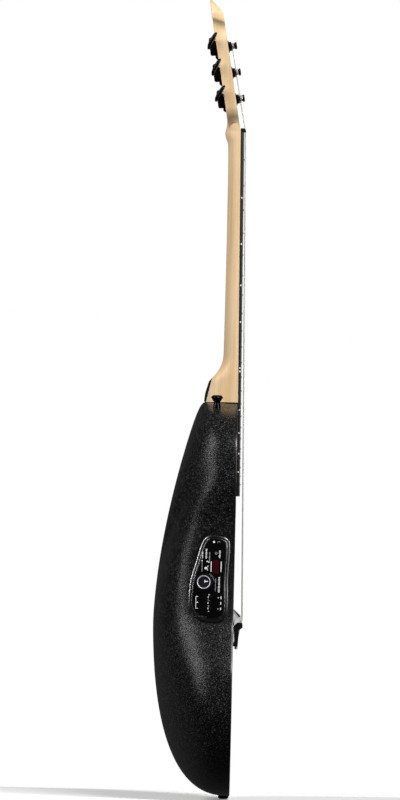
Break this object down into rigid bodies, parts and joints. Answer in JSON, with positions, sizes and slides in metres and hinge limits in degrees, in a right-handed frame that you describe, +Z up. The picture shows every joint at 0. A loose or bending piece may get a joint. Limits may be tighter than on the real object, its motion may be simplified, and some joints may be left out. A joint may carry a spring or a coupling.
{
  "type": "acoustic-electric guitar",
  "caption": "Steel-string guitar with a shallow moulded round back, cutaway, sealed tuners, side preamp panel and end pin jack.",
  "frame": {"origin": "middle of the end pin's outer face, under the tail of the body", "axes": "+Z runs up the neck to the headstock, -Y is the way the soundboard faces, +Y the bowl's back, -X the bass side with the preamp panel"},
  "size_m": [0.3952, 0.1175, 1.0462],
  "materials": {
    "maple": "satin",
    "moulded_bowl": "textured",
    "ebony": "oiled",
    "black_wood": "satin",
    "spruce": "satin",
    "block_wood": "raw",
    "black_metal": "black plated gloss",
    "black_plastic": "satin",
    "gloss_plastic": "gloss",
    "white_plastic": "satin",
    "display": "gloss",
    "string_steel": "drawn",
    "string_bronze": "wound",
    "rod_steel": "machined",
    "jack_metal": "plated",
    "battery_case": "printed tin",
    "lead_rubber": "matte"
  },
  "bodies": {
    "guitar": {"bowl": "moulded_bowl", "soundboard": "spruce", "edge_binding": "black_wood", "neck_block": "block_wood", "tail_block": "block_wood", "x_brace_bass": "spruce", "x_brace_treble": "spruce", "upper_brace": "spruce", "bridge": "black_wood", "saddle": "white_plastic", "saddle_pickup": "lead_rubber", "preamp_frame": "gloss_plastic", "neck": "maple", "heel_cap": "black_wood", "fingerboard": "ebony", "nut": "black_wood", "truss_rod": "rod_steel", "strap_button": "black_metal", "end_pin_jack": "jack_metal", "end_pin_cap": "black_metal", "jack_lead": "lead_rubber", "string_1": "string_steel", "string_2": "string_steel", "string_3": "string_bronze", "string_4": "string_bronze", "string_5": "string_bronze", "string_6": "string_bronze", "tuner_housing_1": "black_metal", "tuner_housing_2": "black_metal", "tuner_housing_3": "black_metal", "tuner_housing_4": "black_metal", "tuner_housing_5": "black_metal", "tuner_housing_6": "black_metal", "tuner_bushing_1": "black_metal", "tuner_bushing_2": "black_metal", "tuner_bushing_3": "black_metal", "tuner_bushing_4": "black_metal", "tuner_bushing_5": "black_metal", "tuner_bushing_6": "black_metal"},
    "pod": {"preamp_pod": "black_plastic", "battery": "battery_case", "display_window": "display"},
    "volume_knob": {"volume_knob": "black_plastic"},
    "eq_bass": {"eq_slider_bass": "black_plastic"},
    "eq_mid": {"eq_slider_mid": "black_plastic"},
    "eq_treble": {"eq_slider_treble": "black_plastic"},
    "tuner_switch": {"tuner_switch": "white_plastic"},
    "pod_latch": {"pod_latch": "black_plastic"},
    "tuner_button_1": {"tuner_button_1": "black_metal"},
    "tuner_post_1": {"tuner_post_1": "black_metal"},
    "tuner_button_2": {"tuner_button_2": "black_metal"},
    "tuner_post_2": {"tuner_post_2": "black_metal"},
    "tuner_button_3": {"tuner_button_3": "black_metal"},
    "tuner_post_3": {"tuner_post_3": "black_metal"},
    "tuner_button_4": {"tuner_button_4": "black_metal"},
    "tuner_post_4": {"tuner_post_4": "black_metal"},
    "tuner_button_5": {"tuner_button_5": "black_metal"},
    "tuner_post_5": {"tuner_post_5": "black_metal"},
    "tuner_button_6": {"tuner_button_6": "black_metal"},
    "tuner_post_6": {"tuner_post_6": "black_metal"}
  },
  "joints": [
    {"name": "button_turn_1", "type": "hinge", "parent": "guitar", "child": "tuner_button_1", "pos_m": [0.02052, 0.02471, 0.92411], "axis": [1, 0, 0], "continuous": true},
    {"name": "post_turn_1", "type": "hinge", "parent": "guitar", "child": "tuner_post_1", "pos_m": [0.02052, 0.00335, 0.91656], "axis": [0, 0.986, -0.1668], "continuous": true},
    {"name": "button_turn_2", "type": "hinge", "parent": "guitar", "child": "tuner_button_2", "pos_m": [0.02242, 0.03052, 0.95842], "axis": [1, 0, 0], "continuous": true},
    {"name": "post_turn_2", "type": "hinge", "parent": "guitar", "child": "tuner_post_2", "pos_m": [0.02242, 0.00916, 0.95088], "axis": [0, 0.986, -0.1668], "continuous": true},
    {"name": "button_turn_3", "type": "hinge", "parent": "guitar", "child": "tuner_button_3", "pos_m": [0.02394, 0.03632, 0.99273], "axis": [1, 0, 0], "continuous": true},
    {"name": "post_turn_3", "type": "hinge", "parent": "guitar", "child": "tuner_post_3", "pos_m": [0.02394, 0.01496, 0.98519], "axis": [0, 0.986, -0.1668], "continuous": true},
    {"name": "button_turn_4", "type": "hinge", "parent": "guitar", "child": "tuner_button_4", "pos_m": [-0.02394, 0.03632, 0.99273], "axis": [1, 0, 0], "continuous": true},
    {"name": "post_turn_4", "type": "hinge", "parent": "guitar", "child": "tuner_post_4", "pos_m": [-0.02394, 0.01496, 0.98519], "axis": [0, 0.986, -0.1668], "continuous": true},
    {"name": "button_turn_5", "type": "hinge", "parent": "guitar", "child": "tuner_button_5", "pos_m": [-0.02242, 0.03052, 0.95842], "axis": [1, 0, 0], "continuous": true},
    {"name": "post_turn_5", "type": "hinge", "parent": "guitar", "child": "tuner_post_5", "pos_m": [-0.02242, 0.00916, 0.95088], "axis": [0, 0.986, -0.1668], "continuous": true},
    {"name": "button_turn_6", "type": "hinge", "parent": "guitar", "child": "tuner_button_6", "pos_m": [-0.02052, 0.02471, 0.92411], "axis": [1, 0, 0], "continuous": true},
    {"name": "post_turn_6", "type": "hinge", "parent": "guitar", "child": "tuner_post_6", "pos_m": [-0.02052, 0.00335, 0.91656], "axis": [0, 0.986, -0.1668], "continuous": true},
    {"name": "pod_swing", "type": "hinge", "parent": "guitar", "child": "pod", "pos_m": [-0.14552, 0.02514, 0.24032], "axis": [-0.1219, -0.9925, 0], "range_deg": [0, 35]},
    {"name": "volume_turn", "type": "hinge", "parent": "pod", "child": "volume_knob", "pos_m": [-0.14162, 0.03111, 0.2846], "axis": [-0.9871, 0.1212, 0.1045], "range_deg": [-140, 140]},
    {"name": "eq_bass_slide", "type": "slide", "parent": "pod", "child": "eq_bass", "axis": [0.1219, 0.9925, 0], "range_m": [-0.0096, 0.0096]},
    {"name": "eq_mid_slide", "type": "slide", "parent": "pod", "child": "eq_mid", "axis": [0.1219, 0.9925, 0], "range_m": [-0.0096, 0.0096]},
    {"name": "eq_treble_slide", "type": "slide", "parent": "pod", "child": "eq_treble", "axis": [0.1219, 0.9925, 0], "range_m": [-0.0096, 0.0096]},
    {"name": "tuner_switch_press", "type": "slide", "parent": "pod", "child": "tuner_switch", "axis": [0.9871, -0.1212, -0.1045], "range_m": [0, 0.001], "stiffness_N_per_m": 250, "springref_m": -0.0005},
    {"name": "pod_latch_press", "type": "slide", "parent": "pod", "child": "pod_latch", "axis": [0.9871, -0.1212, -0.1045], "range_m": [0, 0.001], "stiffness_N_per_m": 250, "springref_m": -0.0005}
  ],
  "couplings": [
    {"joint": "post_turn_1", "follows": "button_turn_1", "ratio": 0.071429},
    {"joint": "post_turn_2", "follows": "button_turn_2", "ratio": 0.071429},
    {"joint": "post_turn_3", "follows": "button_turn_3", "ratio": 0.071429},
    {"joint": "post_turn_4", "follows": "button_turn_4", "ratio": -0.071429},
    {"joint": "post_turn_5", "follows": "button_turn_5", "ratio": -0.071429},
    {"joint": "post_turn_6", "follows": "button_turn_6", "ratio": -0.071429}
  ]
}
